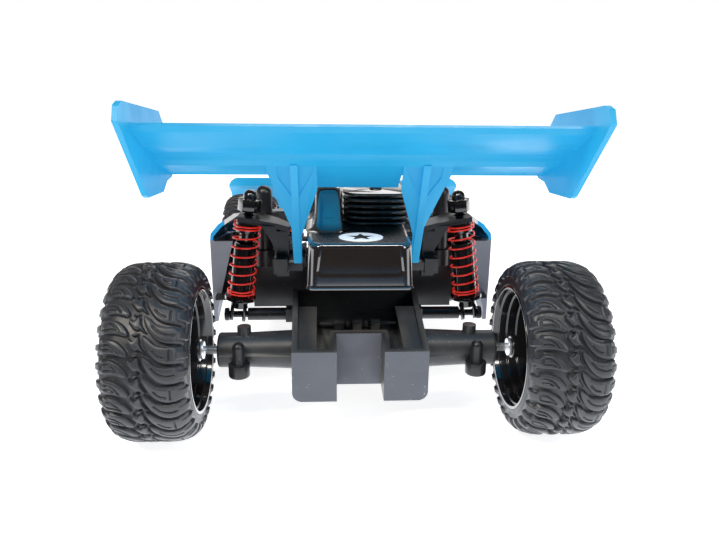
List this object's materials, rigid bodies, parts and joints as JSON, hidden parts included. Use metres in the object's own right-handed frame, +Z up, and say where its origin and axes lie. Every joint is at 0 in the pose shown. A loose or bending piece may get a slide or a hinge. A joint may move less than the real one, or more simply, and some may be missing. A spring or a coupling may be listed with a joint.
{
  "type": "remote control car",
  "caption": "Toy off-road buggy with a live rear axle, geared motor drive, sprung rear and front suspension, linked steering, a tall rear wing and a removable body.",
  "frame": {"origin": "on the ground, in the middle of the car's length and width", "axes": "+Y is the front of the car, +X its right-hand side, +Z up"},
  "size_m": [0.2286, 0.3212, 0.1614],
  "materials": {
    "black_plastic": "fine-grained moulded black, slightly glossy",
    "shock_black": "gloss black",
    "spring_red": "red coated spring wire",
    "wing_blue": "satin light blue",
    "shell_white": "gloss white with blue edging",
    "window_dark": "dark gloss glazing",
    "engine_gloss": "piano black",
    "engine_satin": "semi-gloss black fins",
    "tyre_rubber": "semi-gloss rubber",
    "rim_black": "gloss black",
    "steel": "bright plated steel",
    "screw_steel": "zinc plated",
    "bush_bronze": "sintered bronze",
    "gear_white": "natural nylon",
    "pinion_brass": "turned brass",
    "motor_steel": "zinc plated can",
    "battery_wrap": "green shrink sleeve",
    "board_green": "solder mask",
    "servo_grey": "moulded dark grey",
    "switch_grey": "moulded grey"
  },
  "bodies": {
    "chassis": {"chassis_tub": "black_plastic", "side_pods": "black_plastic", "rear_shock_tower": "black_plastic", "front_shock_tower": "black_plastic", "front_bumper": "black_plastic", "body_shell": "shell_white", "canopy_window": "window_dark", "front_fenders": "wing_blue", "engine_cover": "engine_gloss", "engine_head": "engine_satin", "rear_wing": "wing_blue", "body_posts": "black_plastic", "battery_pack": "battery_wrap", "battery_door": "black_plastic", "case_screws": "screw_steel", "receiver_board": "board_green", "steering_servo": "servo_grey", "suspension_pins": "steel", "front_shock_rods": "shock_black", "rear_springs": "spring_red", "front_spring_left": "spring_red", "front_spring_right": "spring_red"},
    "switch": {"power_switch": "switch_grey"},
    "rear_axle_unit": {"gearbox_lower": "black_plastic", "gearbox_upper": "black_plastic", "gearbox_screws": "screw_steel", "drive_motor": "motor_steel", "shock_mount_bars": "black_plastic", "axle_tube_bolts": "black_plastic", "axle_bushes": "bush_bronze"},
    "rear_wheels": {"rear_axle_shaft": "steel", "axle_gear": "gear_white", "rear_axle_washers": "steel", "rear_wheel_nuts": "steel", "rear_rim_left": "rim_black", "rear_rim_right": "rim_black", "rear_tyre_left": "tyre_rubber", "rear_tyre_right": "tyre_rubber"},
    "idler": {"idler_gear": "gear_white"},
    "pinion": {"motor_pinion": "pinion_brass"},
    "rear_rod_left": {"rear_shock_rod_left": "shock_black"},
    "rear_rod_right": {"rear_shock_rod_right": "shock_black"},
    "rear_sleeve_left": {"rear_shock_body_left": "shock_black"},
    "rear_sleeve_right": {"rear_shock_body_right": "shock_black"},
    "front_arm_left": {"front_arm_left": "black_plastic"},
    "front_arm_right": {"front_arm_right": "black_plastic"},
    "front_sleeve_left": {"front_shock_body_left": "shock_black"},
    "front_sleeve_right": {"front_shock_body_right": "shock_black"},
    "knuckle_left": {"steering_knuckle_left": "black_plastic", "front_stub_axle_left": "steel"},
    "knuckle_right": {"steering_knuckle_right": "black_plastic", "front_stub_axle_right": "steel"},
    "front_wheel_left": {"front_rim_left": "rim_black", "front_tyre_left": "tyre_rubber"},
    "front_wheel_right": {"front_rim_right": "rim_black", "front_tyre_right": "tyre_rubber"},
    "steering_link": {"steering_link": "black_plastic"},
    "servo_horn": {"servo_horn": "gear_white"}
  },
  "joints": [
    {"name": "rear_suspension", "type": "hinge", "parent": "chassis", "child": "rear_axle_unit", "pos_m": [0, -0.0114, 0.038], "axis": [-1, 0, 0], "range_deg": [0, 6], "stiffness_Nm_per_rad": 8, "springref_deg": -4.58, "deforming": ["rear_springs"]},
    {"name": "rear_wheel_spin", "type": "hinge", "parent": "rear_axle_unit", "child": "rear_wheels", "pos_m": [0, -0.0994, 0.043], "axis": [1, 0, 0], "continuous": true},
    {"name": "idler_spin", "type": "hinge", "parent": "rear_axle_unit", "child": "idler", "pos_m": [0.021, -0.0852, 0.0406], "axis": [1, 0, 0], "continuous": true},
    {"name": "pinion_spin", "type": "hinge", "parent": "rear_axle_unit", "child": "pinion", "pos_m": [0.018, -0.0753, 0.03921], "axis": [1, 0, 0], "continuous": true},
    {"name": "rear_rod_left_tilt", "type": "hinge", "parent": "chassis", "child": "rear_rod_left", "pos_m": [-0.055, -0.0624, 0.104], "axis": [1, 0, 0], "range_deg": [0, 2]},
    {"name": "rear_sleeve_left_tilt", "type": "hinge", "parent": "rear_axle_unit", "child": "rear_sleeve_left", "pos_m": [-0.0625, -0.0624, 0.048], "axis": [1, 0, 0], "range_deg": [0, 8]},
    {"name": "rear_rod_right_tilt", "type": "hinge", "parent": "chassis", "child": "rear_rod_right", "pos_m": [0.055, -0.0624, 0.104], "axis": [1, 0, 0], "range_deg": [0, 2]},
    {"name": "rear_sleeve_right_tilt", "type": "hinge", "parent": "rear_axle_unit", "child": "rear_sleeve_right", "pos_m": [0.0625, -0.0624, 0.048], "axis": [1, 0, 0], "range_deg": [0, 8]},
    {"name": "front_suspension_left", "type": "hinge", "parent": "chassis", "child": "front_arm_left", "pos_m": [-0.024, 0.1026, 0.036], "axis": [0, 1, 0], "range_deg": [0, 4], "stiffness_Nm_per_rad": 3, "springref_deg": -4.58, "deforming": ["front_spring_left"]},
    {"name": "front_sleeve_left_tilt", "type": "hinge", "parent": "front_arm_left", "child": "front_sleeve_left", "pos_m": [-0.042, 0.1146, 0.043], "axis": [0, -1, 0], "range_deg": [0, 5]},
    {"name": "front_suspension_right", "type": "hinge", "parent": "chassis", "child": "front_arm_right", "pos_m": [0.024, 0.1026, 0.036], "axis": [0, -1, 0], "range_deg": [0, 4], "stiffness_Nm_per_rad": 3, "springref_deg": -4.58, "deforming": ["front_spring_right"]},
    {"name": "front_sleeve_right_tilt", "type": "hinge", "parent": "front_arm_right", "child": "front_sleeve_right", "pos_m": [0.042, 0.1146, 0.043], "axis": [0, 1, 0], "range_deg": [0, 5]},
    {"name": "steering_left", "type": "hinge", "parent": "front_arm_left", "child": "knuckle_left", "pos_m": [-0.058, 0.1026, 0.043], "axis": [0, 0, 1], "range_deg": [-20, 20]},
    {"name": "front_wheel_left_spin", "type": "hinge", "parent": "knuckle_left", "child": "front_wheel_left", "pos_m": [-0.072, 0.1026, 0.043], "axis": [1, 0, 0], "continuous": true},
    {"name": "steering_right", "type": "hinge", "parent": "front_arm_right", "child": "knuckle_right", "pos_m": [0.058, 0.1026, 0.043], "axis": [0, 0, 1], "range_deg": [-20, 20]},
    {"name": "front_wheel_right_spin", "type": "hinge", "parent": "knuckle_right", "child": "front_wheel_right", "pos_m": [0.072, 0.1026, 0.043], "axis": [1, 0, 0], "continuous": true},
    {"name": "steering_link_slide", "type": "slide", "parent": "chassis", "child": "steering_link", "axis": [1, 0, 0], "range_m": [-0.0053, 0.0053]},
    {"name": "servo_turn", "type": "hinge", "parent": "chassis", "child": "servo_horn", "pos_m": [0, 0.0726, 0.047], "axis": [0, 0, 1], "range_deg": [-21, 21]},
    {"name": "switch_slide", "type": "slide", "parent": "chassis", "child": "switch", "axis": [0, 1, 0], "range_m": [0, 0.004]}
  ],
  "couplings": [
    {"joint": "idler_spin", "follows": "rear_wheel_spin", "ratio": -3},
    {"joint": "pinion_spin", "follows": "rear_wheel_spin", "ratio": 9},
    {"joint": "rear_rod_left_tilt", "follows": "rear_suspension", "ratio": 0.2493},
    {"joint": "rear_sleeve_left_tilt", "follows": "rear_suspension", "ratio": 1.2493},
    {"joint": "rear_rod_right_tilt", "follows": "rear_suspension", "ratio": 0.2493},
    {"joint": "rear_sleeve_right_tilt", "follows": "rear_suspension", "ratio": 1.2493},
    {"joint": "front_sleeve_left_tilt", "follows": "front_suspension_left", "ratio": 1},
    {"joint": "front_sleeve_right_tilt", "follows": "front_suspension_right", "ratio": 1},
    {"joint": "steering_right", "follows": "steering_left", "ratio": 1},
    {"joint": "steering_link_slide", "follows": "steering_left", "m_per_rad": 0.0147},
    {"joint": "servo_turn", "follows": "steering_left", "ratio": -1}
  ]
}
